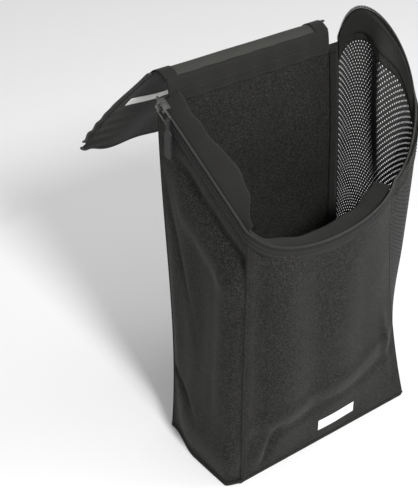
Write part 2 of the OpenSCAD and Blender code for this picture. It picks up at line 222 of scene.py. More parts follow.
def normals(surface, u, v):
    e = 0.003
    du = surface(np.minimum(u + e, 1), v) - surface(np.maximum(u - e, 0), v)
    dv = surface(u, np.minimum(v + e, 1)) - surface(u, np.maximum(v - e, 0))
    return unit(np.cross(du, dv))


def ripple(u, v, seed, count, low, high):
    r = random.Random(seed)
    total = np.zeros(np.broadcast(u, v).shape)
    for i in range(count):
        angle = r.uniform(0, math.pi)
        scale = r.uniform(low, high)
        phase = r.uniform(0, 6.28)
        total += np.sin(scale * (u * math.cos(angle) + v * math.sin(angle)) + phase) / count
    return total


def rest(u, v):
    return smooth(u, 0, 0.06) * smooth(1 - u, 0, 0.06) * smooth(v, 0, 0.04) * smooth(1 - v, 0, 0.03)


def folded(plain, folds):
    def surface(u, v):
        u, v = np.broadcast_arrays(np.asarray(u, float), np.asarray(v, float))
        return plain(u, v) + normals(plain, u, v) * folds(u, v)[..., None]
    return surface


def frontFolds(u, v):
    deep = 3.5 * bump(u, 0.24, 0.09) - 3.0 * bump(u, 0.09, 0.05) - 2.2 * bump(u, 0.42,
            0.07) + 2.2 * bump(u, 0.6, 0.1)
    deep = deep * smooth(v, 0.05, 0.3) * (1 - 0.5 * smooth(v, 0.8, 1.0))
    pucker = -4.5 * bump(u - 0.16, 0.55 * (v - 0.11), 0.028) * bump(v, 0.11, 0.07) + 3.0 * bump(u, 0.09,
            0.05) * bump(v, 0.1, 0.06)
    low = 1.5 * bump(v, 0.22 + 0.15 * u, 0.035) - 1.6 * bump(v, 0.15 + 0.12 * u, 0.03)
    ridge = 3.2 * bump(u - 0.9, -0.12 * (v - 0.4), 0.03) * bump(v, 0.32, 0.13)
    return (deep + pucker + low + ridge + 1.1 * ripple(u, v, 3, 6, 9, 26)) * rest(u, v) * mm


def leftFolds(u, v):
    valley = -6.0 * bump(v, 0.9 - 0.02 * u, 0.035) * smooth(u, 0.02, 0.3)
    shoulder = 4.5 * bump(v, 0.8 - 0.03 * u, 0.05) * smooth(u, 0.1, 0.4)
    hollow = -6.5 * bump(u, 0.42 + 0.12 * v, 0.17) * bump(v, 0.5, 0.26)
    roll = 4.5 * bump(u, 0.82, 0.1) * smooth(v, 0.1, 0.35) * (1 - smooth(v, 0.7, 0.9))
    backRoll = 3.5 * bump(u, 0.12, 0.08) * bump(v, 0.45, 0.25)
    belly = 5.0 * bump(v, 0.1, 0.07) * smooth(u, 0.05, 0.3)
    crease = -3.6 * bump(v, 0.2 - 0.13 * u, 0.018) * (1 - smooth(u, 0.25, 0.6))
    slant = -2.6 * bump(u - 0.2, -0.9 * (v - 0.62), 0.05) * bump(v, 0.62, 0.16)
    total = valley + shoulder + hollow + roll + backRoll + belly + crease + slant
    return (total + 1.3 * ripple(u, v, 11, 6, 8, 24)) * rest(u, v) * mm


def backFolds(u, v):
    return (3.0 * bump(u, 0.35, 0.12) * bump(v, 0.6, 0.3) - 3.0 * bump(u, 0.7, 0.1) * bump(v, 0.5, 0.3)
            + 2.0 * ripple(u, v, 5, 7, 6, 20)) * rest(u, v) * mm


def rightFolds(u, v):
    valley = -15.0 * bump(u, 0.62 - 0.1 * (1 - v), 0.075) * smooth(v, 0.45,
            0.85) * (1 - 0.75 * smooth(v, 0.93, 1.0))
    belly = 5.0 * bump(u, 0.25, 0.16) * smooth(v, 0.3, 0.6) - 3.0 * bump(u, 0.5, 0.2) * bump(v, 0.3, 0.2)
    return (valley + belly + 1.3 * ripple(u, v, 21, 6, 8, 22)) * smooth(u, 0, 0.06) * smooth(1 - u, 0,
            0.06) \
        * smooth(v, 0, 0.05) * mm


frontWall = folded(plainFront, frontFolds)
leftWall = folded(plainLeft, leftFolds)
backWall = folded(plainBack, backFolds)
rightWall = folded(plainRight, rightFolds)


def rimWaves(t):
    return np.sin(t * 61) * 0.6 + np.sin(t * 97 + 1.3) * 0.5 + np.sin(t * 149 + 0.4) * 0.3


def newObject(name, verts, faces, material, uvs=None, smoothFaces=True):
    mesh = bpy.data.meshes.new(name)
    mesh.from_pydata([tuple(float(c) for c in v) for v in verts], [],
                     [tuple(int(i) for i in f) for f in faces])
    if uvs is not None:
        layer = mesh.uv_layers.new(name="clothUv")
        loopVerts = np.empty(len(mesh.loops), dtype=np.int64)
        mesh.loops.foreach_get("vertex_index", loopVerts)
        layer.data.foreach_set("uv", np.asarray(uvs, np.float32)[loopVerts].ravel())
    mesh.validate()
    mesh.materials.append(material)
    mesh.polygons.foreach_set("use_smooth", [smoothFaces] * len(mesh.polygons))
    obj = bpy.data.objects.new(name, mesh)
    scene.collection.objects.link(obj)
    return obj


def gridFaces(nu, nv, start=0, flip=False):
    faces = []
    for j in range(nv):
        for i in range(nu):
            a = start + j * (nu + 1) + i
            quad = (a, a + 1, a + nu + 2, a + nu + 1)
            faces.append(quad[::-1] if flip else quad)
    return faces


def thickGrid(name, outer, inner, material, uvSize):
    nv, nu = outer.shape[0] - 1, outer.shape[1] - 1
    count = (nu + 1) * (nv + 1)
    verts = np.concatenate([outer.reshape(-1, 3), inner.reshape(-1, 3)])
    faces = gridFaces(nu, nv) + gridFaces(nu, nv, count, True)
    ring = [i for i in range(nu + 1)] + [j * (nu + 1) + nu for j in range(1, nv + 1)]
    ring += [nv * (nu + 1) + i for i in range(nu - 1, -1, -1)] + [j
            * (nu + 1) for j in range(nv - 1, 0, -1)]
    for a, b in zip(ring, ring[1:] + ring[:1]):
        faces.append((a, a + count, b + count, b))
    u, v = np.meshgrid(np.linspace(0, uvSize[0], nu + 1), np.linspace(0, uvSize[1], nv + 1))
    uv = np.stack([u, v], -1).reshape(-1, 2)
    return newObject(name, verts, faces, material, np.concatenate([uv, uv]))


def surfaceSheet(name, surface, uRange, vRange, low, high, cells, material, extra=None):
    u, v = np.meshgrid(np.linspace(*uRange, cells[0] + 1), np.linspace(*vRange, cells[1] + 1))
    base = surface(u, v)
    n = normals(surface, u, v)
    if extra is not None:
        base = base + n * extra(u, v)[..., None]
    width = np.linalg.norm(np.diff(base[cells[1] // 2], axis=0), axis=-1).sum()
    height = np.linalg.norm(np.diff(base[:, cells[0] // 2], axis=0), axis=-1).sum()
    return thickGrid(name, base + n * high, base + n * low, material, (width, height))


def sweepSection(name, centres, axisA, axisB, section, material, closed=True):
    n, m = len(centres), len(section)
    verts = np.concatenate([c + np.outer([s[0] for s in section], a) + np.outer([s[1] for s in section], b)
                            for c, a, b in zip(centres, axisA, axisB)])
    faces = [(j * m + i, j * m + (i + 1) % m, (j + 1) * m + (i + 1) % m, (j + 1) * m + i)
             for j in range(n - 1) for i in range(m)]
    faces += [tuple(range(m))[::-1], tuple(range((n - 1) * m, n * m))]
    lengths = np.concatenate([[0], np.cumsum(np.linalg.norm(np.diff(centres, axis=0), axis=-1))])
    around = np.concatenate([[0], np.cumsum([math.dist(section[i], section[i + 1]) for i in range(m - 1)])])
    uv = np.array([(length, a) for length in lengths for a in around])
    return newObject(name, verts, faces, material, uv)


def resample(points, pitch):
    points = np.asarray(points, float)
    lengths = np.concatenate([[0], np.cumsum(np.linalg.norm(np.diff(points, axis=0), axis=-1))])
    count = max(int(lengths[-1] / pitch), 2)
    at = np.linspace(0, lengths[-1], count + 1)
    return np.stack([np.interp(at, lengths, points[:, k]) for k in range(3)], -1), lengths[-1]


def roundedBar(width, thick, radius=0.35):
    a, b = width / 2, thick / 2
    r = radius * min(width, thick)
    return [(-a + r, -b), (a - r, -b), (a, -b + r), (a, b - r), (a - r, b), (-a + r, b), (-a, b - r),
            (-a, -b + r)]


def teethAlong(name, path, up, out, material):
    along, across, thick = zipper["toothSize"]
    points, total = resample(path, zipper["toothPitch"])
    upPts, _ = resampleVectors(path, up, len(points))
    outPts, _ = resampleVectors(path, out, len(points))
    tangents = unit(np.gradient(points, axis=0))
    ring = roundedBar(across, thick, 0.42)
    verts, faces = [], []
    for p, t, a, b in zip(points, tangents, upPts, outPts):
        start = len(verts)
        for side, shrink in ((-0.5, 0.72), (-0.22, 1.0), (0.22, 1.0), (0.5, 0.72)):
            for s in ring:
                verts.append(p + t * along * side + a * s[0] * shrink + b * s[1] * shrink)
        for k in range(3):
            for i in range(8):
                j = (i + 1) % 8
                faces.append((start + k * 8 + i, start + k * 8 + j, start + k * 8 + 8 + j,
                              start + k * 8 + 8 + i))
        faces.append(tuple(range(start + 7, start - 1, -1)))
        faces.append(tuple(range(start + 24, start + 32)))
    return newObject(name, verts, faces, material)


def resampleVectors(path, vectors, count):
    path = np.asarray(path, float)
    lengths = np.concatenate([[0], np.cumsum(np.linalg.norm(np.diff(path, axis=0), axis=-1))])
    at = np.linspace(0, lengths[-1], count)
    return unit(np.stack([np.interp(at, lengths, vectors[:, k]) for k in range(3)], -1)), lengths[-1]


def stitchesAlong(name, path, out, material):
    pitch, length, radius = trim["stitchPitch"], trim["stitchLength"], trim["stitchRadius"]
    points, _ = resample(path, pitch)
    outPts, _ = resampleVectors(path, out, len(points))
    tangents = unit(np.gradient(points, axis=0))
    verts, faces = [], []
    for p, t, n in zip(points, tangents, outPts):
        side = np.cross(t, n)
        start = len(verts)
        for s, lift, size in ((-0.5, -0.6, 0.5), (-0.25, 0.5, 1.0), (0.25, 0.5, 1.0), (0.5, -0.6, 0.5)):
            for k in range(6):
                angle = k * math.pi / 3
                verts.append(p + t * length * s + n * radius * (lift + size * math.sin(angle))
                             + side * radius * size * math.cos(angle))
        for k in range(3):
            for i in range(6):
                j = (i + 1) % 6
                faces.append((start + k * 6 + i, start + k * 6 + j, start + k * 6 + 6 + j,
                              start + k * 6 + 6 + i))
        faces.append(tuple(range(start + 5, start - 1, -1)))
        faces.append(tuple(range(start + 18, start + 24)))
    return newObject(name, verts, faces, material)


def newGroup(name, inputs, outputs):
    group = bpy.data.node_groups.new(name, "ShaderNodeTree")
    for label, kind, value in inputs:
        socket = group.interface.new_socket(name=label, in_out="INPUT", socket_type=kind)
        if value is not None:
            socket.default_value = value
    for label, kind in outputs:
        group.interface.new_socket(name=label, in_out="OUTPUT", socket_type=kind)
    return group, group.nodes.new("NodeGroupInput"), group.nodes.new("NodeGroupOutput")


def mathNode(group, operation, a, b=None, clamp=False, third=None):
    node = group.nodes.new("ShaderNodeMath")
    node.operation = operation
    node.use_clamp = clamp
    for i, value in enumerate((a, b, third)):
        if value is None:
            continue
        if isinstance(value, (int, float)):
            node.inputs[i].default_value = value
        else:
            group.links.new(value, node.inputs[i])
    return node.outputs[0]


def separate(group, vector):
    node = group.nodes.new("ShaderNodeSeparateXYZ")
    group.links.new(vector, node.inputs[0])
    return node.outputs[0], node.outputs[1]


def noise(group, vector, scale, detail=2.0, roughness=0.5):
    node = group.nodes.new("ShaderNodeTexNoise")
    node.inputs["Detail"].default_value = detail
    node.inputs["Roughness"].default_value = roughness
    if isinstance(scale, (int, float)):
        node.inputs["Scale"].default_value = scale
    else:
        group.links.new(scale, node.inputs["Scale"])
    group.links.new(vector, node.inputs["Vector"])
    return node.outputs["Fac"]


def makeWeaveGroup():
    group, inp, out = newGroup("speckledWeave", [
        ("Vector", "NodeSocketVector", None), ("Thread Size", "NodeSocketFloat", 0.0009),
        ("Speckle", "NodeSocketFloat", 0.6)], [("Tone", "NodeSocketFloat"), ("Height", "NodeSocketFloat")])
    count = mathNode(group, "DIVIDE", math.pi, inp.outputs["Thread Size"])
    x, y = separate(group, inp.outputs["Vector"])
    waveX = mathNode(group, "SINE", mathNode(group, "MULTIPLY", x, count))
    waveY = mathNode(group, "SINE", mathNode(group, "MULTIPLY", y, count))
    over = mathNode(group, "MULTIPLY", waveX, waveY)
    cell = mathNode(group, "DIVIDE", 1.0, inp.outputs["Thread Size"])
    scaled = group.nodes.new("ShaderNodeVectorMath")
    scaled.operation = "SCALE"
    group.links.new(inp.outputs["Vector"], scaled.inputs[0])
    group.links.new(cell, scaled.inputs["Scale"])
    snapped = group.nodes.new("ShaderNodeVectorMath")
    snapped.operation = "FLOOR"
    group.links.new(scaled.outputs[0], snapped.inputs[0])
    white = group.nodes.new("ShaderNodeTexWhiteNoise")
    white.noise_dimensions = "2D"
    group.links.new(snapped.outputs[0], white.inputs["Vector"])
    speck = mathNode(group, "POWER", white.outputs["Value"], 2.2)
    weave = mathNode(group, "MULTIPLY_ADD", over, 0.22, third=0.42)
    speckled = mathNode(group, "MULTIPLY", mathNode(group, "SUBTRACT", speck, 0.3), inp.outputs["Speckle"])
    tone = mathNode(group, "ADD", weave, speckled, True)
    group.links.new(tone, out.inputs["Tone"])
    group.links.new(mathNode(group, "MULTIPLY_ADD", over, 0.35, third=0.5), out.inputs["Height"])
    return group


def makeRibGroup():
    group, inp, out = newGroup("ribbedTape", [
        ("Vector", "NodeSocketVector", None), ("Rib Size", "NodeSocketFloat", 0.0013)],
        [("Tone", "NodeSocketFloat"), ("Height", "NodeSocketFloat")])
    count = mathNode(group, "DIVIDE", 2 * math.pi, inp.outputs["Rib Size"])
    x, y = separate(group, inp.outputs["Vector"])
    slant = mathNode(group, "ADD", x, y)
    back = mathNode(group, "SUBTRACT", x, y)
    ribs = mathNode(group, "SINE", mathNode(group, "MULTIPLY", slant, count))
    cross = mathNode(group, "SINE", mathNode(group, "MULTIPLY", back, count))
    grain = noise(group, inp.outputs["Vector"], 900, 2.0)
    both = mathNode(group, "MULTIPLY", ribs, cross)
    tone = mathNode(group, "MULTIPLY_ADD", both, 0.3, third=0.2)
    group.links.new(mathNode(group, "ADD", tone, mathNode(group, "MULTIPLY", grain, 0.5), True),
                    out.inputs["Tone"])
    group.links.new(mathNode(group, "MULTIPLY_ADD", both, 0.5, third=0.5), out.inputs["Height"])
    return group


def makeWearGroup():
    group, inp, out = newGroup("softWear", [
        ("Vector", "NodeSocketVector", None), ("Scale", "NodeSocketFloat", 22.0)],
        [("Fade", "NodeSocketFloat"), ("Roughness", "NodeSocketFloat")])
    wide = noise(group, inp.outputs["Vector"], inp.outputs["Scale"], 3.0, 0.55)
    fine = noise(group, inp.outputs["Vector"], 420, 2.0, 0.6)
    fade = mathNode(group, "ADD", mathNode(group, "MULTIPLY", wide, 0.7),
                    mathNode(group, "MULTIPLY", fine, 0.3), True)
    group.links.new(fade, out.inputs["Fade"])
    group.links.new(mathNode(group, "MULTIPLY_ADD", fade, 0.25, third=0.62), out.inputs["Roughness"])
    return group


def makeNetGroup():
    group, inp, out = newGroup("diamondNet", [
        ("Vector", "NodeSocketVector", None), ("Cell", "NodeSocketFloat", 0.0036), ("Hole",
                "NodeSocketFloat", 0.17)],
        [("Cover", "NodeSocketFloat"), ("Height", "NodeSocketFloat")])
    x, y = separate(group, inp.outputs["Vector"])
    cell = inp.outputs["Cell"]
    halfTurn = mathNode(group, "DIVIDE", mathNode(group, "ADD", x, mathNode(group, "MULTIPLY", y, 0.62)),
                        cell)
    otherTurn = mathNode(group, "DIVIDE",
                         mathNode(group, "SUBTRACT", x, mathNode(group, "MULTIPLY", y, 0.62)), cell)
    a = mathNode(group, "ABSOLUTE", mathNode(group, "SUBTRACT", mathNode(group, "FRACT", halfTurn), 0.5))
    b = mathNode(group, "ABSOLUTE", mathNode(group, "SUBTRACT", mathNode(group, "FRACT", otherTurn), 0.5))
    far = mathNode(group, "MAXIMUM", a, b)
    group.links.new(mathNode(group, "GREATER_THAN", far, inp.outputs["Hole"]), out.inputs["Cover"])
    group.links.new(far, out.inputs["Height"])
    return group


weaveGroup = makeWeaveGroup()
ribGroup = makeRibGroup()
wearGroup = makeWearGroup()
netGroup = makeNetGroup()


def place(tree, group, vector, **values):
    node = tree.nodes.new("ShaderNodeGroup")
    node.node_tree = group
    tree.links.new(vector, node.inputs["Vector"])
    for label, value in values.items():
        node.inputs[label.replace("_", " ")].default_value = value
    return node


def startMaterial(name):
    material = bpy.data.materials.new(name)
    material.use_nodes = True
    tree = material.node_tree
    shader = tree.nodes["Principled BSDF"]
    return material, tree, shader


def uvOf(tree):
    node = tree.nodes.new("ShaderNodeUVMap")
    node.uv_map = "clothUv"
    return node.outputs["UV"]


def objectCoords(tree):
    return tree.nodes.new("ShaderNodeTexCoord").outputs["Object"]


def ramp(tree, factor, dark, light, low=0.0, high=1.0):
    node = tree.nodes.new("ShaderNodeValToRGB")
    node.color_ramp.elements[0].position = low
    node.color_ramp.elements[1].position = high
    node.color_ramp.elements[0].color = (*dark, 1)
    node.color_ramp.elements[1].color = (*light, 1)
    tree.links.new(factor, node.inputs["Fac"])
    return node.outputs["Color"]


def bumpInto(tree, shader, height, strength, distance):
    node = tree.nodes.new("ShaderNodeBump")
    node.inputs["Strength"].default_value = strength
    node.inputs["Distance"].default_value = distance
    tree.links.new(height, node.inputs["Height"])
    tree.links.new(node.outputs["Normal"], shader.inputs["Normal"])


def multiplyColour(tree, colour, factor, amount):
    node = tree.nodes.new("ShaderNodeMix")
    node.data_type = "RGBA"
    node.blend_type = "MULTIPLY"
    node.inputs["Factor"].default_value = amount
    tree.links.new(colour, node.inputs["A"])
    tree.links.new(factor, node.inputs["B"])
    return node.outputs["Result"]


def clothMaterial(name, look):
    material, tree, shader = startMaterial(name)
    vector = uvOf(tree)
    weave = place(tree, weaveGroup, vector, Thread_Size=look["thread"], Speckle=look["speckle"])
    wear = place(tree, wearGroup, objectCoords(tree), Scale=look["patches"])
    colour = ramp(tree, weave.outputs["Tone"], look["dark"], look["light"], 0.18, 0.95)
    shade = ramp(tree, wear.outputs["Fade"], (0.72, 0.72, 0.72), (1, 1, 1), 0.3, 0.7)
    tree.links.new(multiplyColour(tree, colour, shade, 1.0), shader.inputs["Base Color"])
    tree.links.new(wear.outputs["Roughness"], shader.inputs["Roughness"])
    shader.inputs["Sheen Weight"].default_value = look["sheen"]
    shader.inputs["Sheen Roughness"].default_value = 0.45
    shader.inputs["Specular IOR Level"].default_value = 0.18
    bumpInto(tree, shader, weave.outputs["Height"], 0.55, 0.0004)
    return material


def tapeMaterial(name, look):
    material, tree, shader = startMaterial(name)
    rib = place(tree, ribGroup, uvOf(tree), Rib_Size=look["rib"])
    wear = place(tree, wearGroup, objectCoords(tree), Scale=30.0)
    colour = ramp(tree, rib.outputs["Tone"], look["dark"], look["light"], 0.15, 0.9)
    shade = ramp(tree, wear.outputs["Fade"], (0.75, 0.75, 0.75), (1, 1, 1), 0.3, 0.7)
    tree.links.new(multiplyColour(tree, colour, shade, 1.0), shader.inputs["Base Color"])
    tree.links.new(wear.outputs["Roughness"], shader.inputs["Roughness"])
    shader.inputs["Sheen Weight"].default_value = 0.04
    shader.inputs["Specular IOR Level"].default_value = 0.18
    bumpInto(tree, shader, rib.outputs["Height"], 0.7, 0.0005)
    return material


def coatedMaterial():
    material, tree, shader = startMaterial("coatedLining")
    coords = objectCoords(tree)
    wear = place(tree, wearGroup, coords, Scale=35.0)
    weave = place(tree, weaveGroup, uvOf(tree), Thread_Size=0.0008, Speckle=0.25)
    colour = ramp(tree, wear.outputs["Fade"], (0.016, 0.0165, 0.0135), (0.030, 0.031, 0.026), 0.3, 0.75)
    shade = ramp(tree, weave.outputs["Tone"], (0.82, 0.82, 0.82), (1, 1, 1))
    tree.links.new(multiplyColour(tree, colour, shade, 1.0), shader.inputs["Base Color"])
    tree.links.new(wear.outputs["Roughness"], shader.inputs["Roughness"])
    shader.inputs["Coat Weight"].default_value = 0.12
    shader.inputs["Coat Roughness"].default_value = 0.4
    bumpInto(tree, shader, weave.outputs["Height"], 0.2, 0.0002)
    return material


def netMaterial():
    material, tree, shader = startMaterial("ventNet")
    vector = uvOf(tree)
    net = place(tree, netGroup, vector)
    wear = place(tree, wearGroup, objectCoords(tree), Scale=40.0)
    colour = ramp(tree, wear.outputs["Fade"], (0.005, 0.005, 0.0046), (0.014, 0.014, 0.013), 0.3, 0.7)
    tree.links.new(colour, shader.inputs["Base Color"])
    tree.links.new(wear.outputs["Roughness"], shader.inputs["Roughness"])
    tree.links.new(net.outputs["Cover"], shader.inputs["Alpha"])
    bumpInto(tree, shader, net.outputs["Height"], 0.5, 0.0005)
    return material


def hardMaterial(name, dark, light, metallic, roughness, scale):
    material, tree, shader = startMaterial(name)
    wear = place(tree, wearGroup, objectCoords(tree), Scale=scale)
    tree.links.new(ramp(tree, wear.outputs["Fade"], dark, light, 0.35, 0.7), shader.inputs["Base Color"])
    shader.inputs["Metallic"].default_value = metallic
    node = tree.nodes.new("ShaderNodeMapRange")
    node.inputs["To Min"].default_value = roughness[0]
    node.inputs["To Max"].default_value = roughness[1]
    tree.links.new(wear.outputs["Fade"], node.inputs["Value"])
    tree.links.new(node.outputs["Result"], shader.inputs["Roughness"])
    bumpInto(tree, shader, wear.outputs["Fade"], 0.15, 0.0002)
    return material


clothLook = {"thread": 0.0007, "speckle": 0.75, "patches": 24.0, "sheen": 0.04,
             "dark": (0.002, 0.002, 0.0018), "light": (0.036, 0.0355, 0.032)}
wovenCloth = clothMaterial("wovenCloth", clothLook)
facingTape = tapeMaterial("facingTape", {"rib": 0.0022, "dark": (0.003, 0.003, 0.0028),
                                         "light": (0.028, 0.0275, 0.025)})
zipTape = tapeMaterial("zipTape", {"rib": 0.0014, "dark": (0.003, 0.003, 0.003),
                                   "light": (0.018, 0.018, 0.0165)})
coatedLining = coatedMaterial()
ventNet = netMaterial()
zipTeeth = hardMaterial("zipTeeth", (0.008, 0.008, 0.0075), (0.024, 0.024, 0.022), 0.0, (0.35, 0.6), 60.0)
threadBlack = hardMaterial("stitchThread", (0.008, 0.008, 0.0075), (0.024, 0.024, 0.022), 0.0, (0.5, 0.8),
                           200.0)
darkMetal = hardMaterial("darkMetal", (0.09, 0.09, 0.088), (0.22, 0.22, 0.21), 0.9, (0.25, 0.5), 120.0)
pullerRubber = hardMaterial("pullerRubber", (0.006, 0.006, 0.006), (0.016, 0.016, 0.0155), 0.0,
                            (0.5, 0.75), 90.0)
palePrint = hardMaterial("palePrint", (0.72, 0.72, 0.70), (0.84, 0.84, 0.82), 0.0, (0.45, 0.6), 70.0)
print("materials made")


def edgeShare(surface, length):
    width = np.linalg.norm(surface(0.6, 0.5) - surface(0.4, 0.5)) / 0.2
    return length / width


def fit(obj, body, *nodes, material=None):
    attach(obj, body)
    if nodes:
        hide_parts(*nodes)
    return obj


def cutOf(pattern, uRange=(0, 1), vRange=(0, 1)):
    # from the unfolded pattern: longest row, longest column, area
    u, v = np.meshgrid(np.linspace(*uRange, 61), np.linspace(*vRange, 61))
    p = pattern(u, v)
    width = np.linalg.norm(np.diff(p, axis=1), axis=-1).sum(1).max()
    length = np.linalg.norm(np.diff(p, axis=0), axis=-1).sum(0).max()
    cross = np.cross(p[1:, 1:] - p[:-1, :-1], p[1:, :-1] - p[:-1, 1:])
    return float(width), float(length), float(0.5 * np.linalg.norm(cross, axis=-1).sum())


meshFrom, meshTo = bag["meshFrom"], bag["meshTo"]
half = bag["clothThickness"] / 2


def makeWall(name, surface, pattern, vRange, cells, node, thick=None, material=None, slot="woven_cloth",
             extra=None):
    t = thick or half
    inset = edgeShare(surface, 0.45 * mm)
    obj = surfaceSheet(name, surface, (inset, 1 - inset), vRange, -t, t, cells, material or wovenCloth,
                       extra)
    fit(obj, "bag", node, material=slot)
    cutOf(pattern, vRange=vRange)
    return obj


frontPanel = makeWall("frontPanel", frontWall, plainFront, (0, 1), (120, 140), "front_panel")
leftGusset = makeWall("leftGusset", leftWall, plainLeft, (0, 1), (80, 170), "left_gusset")
backPanel = makeWall("backPanel", backWall, plainBack, (0, 1), (90, 120), "back_panel")
makeWall("rightGussetLower", rightWall, plainRight, (0, meshFrom), (80, 40), "right_gusset_lower")
makeWall("rightMeshVent", rightWall, plainRight, (meshFrom, meshTo), (110, 160), "right_mesh_vent",
                    thick=0.2 * mm, material=ventNet, slot="vent_mesh")
makeWall("rightGussetBand", rightWall, plainRight, (meshTo - 0.006, 1), (160, 10), "right_gusset_band",
                      extra=lambda u, v: 0.2 * mm * rimWaves(u))


def makeBase():
    left = [p for p in footLeft(np.linspace(0, 1, 40))]
    outline = [(p[0] - 2 * mm, p[1]) for p in left]
    outline += [(-halfWidth + 6 * mm, -halfDepth), (halfWidth - 6 * mm, -halfDepth)]
    for k in range(7):
        a = math.radians(-90 + 15 * k)
        outline.append((halfWidth - 6 * mm + 6 * mm * math.cos(a),
                        -halfDepth + 6 * mm + 6 * mm * math.sin(a)))
    for k in range(7):
        a = math.radians(15 * k)
        outline.append((halfWidth - 6 * mm + 6 * mm * math.cos(a),
                        halfDepth - 6 * mm + 6 * mm * math.sin(a)))
    outline.append((-halfWidth + 8 * mm, halfDepth))
    n = len(outline)
    centre = (0.0, 0.0)
    levels = [(0.0, 0.995), (0.4 * mm, 1.0), (1.4 * mm, 1.0), (2.2 * mm, 0.996), (2.6 * mm, 0.985)]
    verts, faces = [], []
    for z, scale in levels:
        verts += [(centre[0] + x * scale, centre[1] + y * scale, z) for x, y in outline]
    for k in range(len(levels) - 1):
        faces += [(k * n + i, k * n + (i + 1) % n, (k + 1) * n + (i + 1) % n,
                   (k + 1) * n + i) for i in range(n)]
    faces += [tuple(range(n))[::-1], tuple(range((len(levels) - 1) * n, len(levels) * n))]
    obj = newObject("basePanel", verts, faces, wovenCloth, [(v[0], v[1] + v[2]) for v in verts])
    return fit(obj, "bag", "base_panel", material="woven_cloth")


basePanel = makeBase()
print("walls made")


def seamTube(name, path, out, radius, material, lift=0.0):
    ring = [(radius * math.cos(a), radius * math.sin(a)) for a in np.linspace(0, 2 * math.pi, 9)[:-1]]
    points, _ = resample(path + out * lift, 2.5 * mm)
    outPts, _ = resampleVectors(path, out, len(points))
    side = unit(np.cross(unit(np.gradient(points, axis=0)), outPts))
    return sweepSection(name, points, outPts, side, ring, material)


def seamOut(vector, count):
    return np.tile(unit(np.array(vector, float)), (count, 1))


t = np.linspace(0.0, 1.0, 90)
seams = {
    "frontLeftWelt": (seamFl(t), (-1, -1, 0), trim["weltRadius"]),
    "frontRightWelt": (seamFr(t), (0.7, -1, 0), trim["weltRadius"]),
    "backLeftWelt": (seamBl(t), (-1, 1, 0), trim["weltRadius"]),
    "backRightWelt": (seamBr(t), (1, 1, 0), trim["weltRadius"]),
}
for name, (path, direction, radius) in seams.items():
    fit(seamTube(name, path, seamOut(direction, len(path)), radius, wovenCloth, 0.2 * mm), "bag",
        material="woven_cloth")

footPath = np.concatenate([footLine(footBl, footBl)(np.zeros(1)), footLeft(np.linspace(0.02, 1, 50)),
                           footLine(footFl, footFr)(np.linspace(0.01, 1, 60)),
                           footLine(footFr, footBr)(np.linspace(0.02, 1, 30)),
                           footLine(footBr, footBl)(np.linspace(0.01, 1, 60))])
footOut = unit(footPath * np.array([1, 2.0, 0]))
fit(seamTube("baseWelt", footPath, footOut, trim["baseWeltRadius"], wovenCloth, 0.6 * mm), "bag",
    material="woven_cloth")


def lineOn(surface, us, vs, lift):
    u, v = np.asarray(us, float), np.asarray(vs, float)
    n = normals(surface, u, v)
    return surface(u, v) + n * lift, n


def stitchRow(name, surface, us, vs, body="bag"):
    path, n = lineOn(surface, us, vs, half + 0.05 * mm)
    return fit(stitchesAlong(name, path, n, threadBlack), body, material="zip_tape")


stitchRow("frontLeftStitch", frontWall, np.full(60, 0.022), np.linspace(0.02, 0.19, 60))
stitchRow("leftFrontStitch", leftWall, np.full(60, 0.965), np.linspace(0.02, 0.16, 60))
stitchRow("frontBaseStitch", frontWall, np.linspace(0.02, 0.98, 150), np.full(150, 0.016))
stitchRow("leftBaseStitch", leftWall, np.linspace(0.03, 0.97, 90), np.full(90, 0.012))
stitchRow("rightBaseStitch", rightWall, np.linspace(0.03, 0.97, 90), np.full(90, 0.012))
stitchRow("backBaseStitch", backWall, np.linspace(0.02, 0.98, 150), np.full(150, 0.012))
stitchRow("meshLowStitch", rightWall, np.linspace(0.02, 0.98, 150), np.full(150, meshFrom - 0.008))
stitchRow("meshHighStitch", rightWall, np.linspace(0.02, 0.98, 220), np.full(220, meshTo + 0.008))
stitchRow("backTopStitch", backWall, np.linspace(0.03, 0.97, 150), np.full(150, 0.978))


def binding(name, surface, uRange, vRange, node, cells=(4, 90)):
    obj = surfaceSheet(name, surface, uRange, vRange, -half - 1.5 * mm, -half - 0.4 * mm, cells, zipTape,
                       extra=lambda u, v: 0.25 * mm * np.sin(v * 90) + 0 * u)
    return fit(obj, "bag", node, material="zip_tape")


for name, surface, atStart, top, node in (
        ("frontLeftBinding", frontWall, True, 0.9, "front_left_binding"),
        ("frontRightBinding", frontWall, False, 0.9, "front_right_binding"),
        ("backLeftBinding", backWall, False, 0.975, "back_left_binding"),
        ("backRightBinding", backWall, True, 0.975, "back_right_binding")):
    near, far = edgeShare(surface, 2.4 * mm), edgeShare(surface, 2.4 * mm + trim["bindingWidth"])
    binding(name, surface, (near, far) if atStart else (1 - far, 1 - near), (0.012, top), node)
binding("meshSeamTape", rightWall, (0.04, 0.96), (meshFrom - 0.014, meshFrom + 0.014), "mesh_seam_tape",
        (90, 2))
print("seams made")


def rimFrame(surface, us):
    us = np.asarray(us, float)
    top = surface(us, np.ones_like(us))
    down = unit(surface(us, np.full_like(us, 0.97)) - top)
    along = unit(surface(np.minimum(us + 0.01, 1), np.ones_like(us))
                 - surface(np.maximum(us - 0.01, 0), np.ones_like(us)))
    out = unit(np.cross(along, -down))
    return top, -down, out


def joinFrames(parts):
    tops, ups, outs = zip(*[rimFrame(surface, us) for surface, us in parts])
    top, up, out = np.concatenate(tops), np.concatenate(ups), np.concatenate(outs)
    for _ in range(3):
        up = unit(up + 0.5 * (np.roll(up, 1, 0) + np.roll(up, -1, 0)) * inner(len(up)))
        out = unit(out + 0.5 * (np.roll(out, 1, 0) + np.roll(out, -1, 0)) * inner(len(out)))
    return top, up, out


def inner(n):
    mask = np.ones((n, 1))
    mask[0] = mask[-1] = 0
    return mask


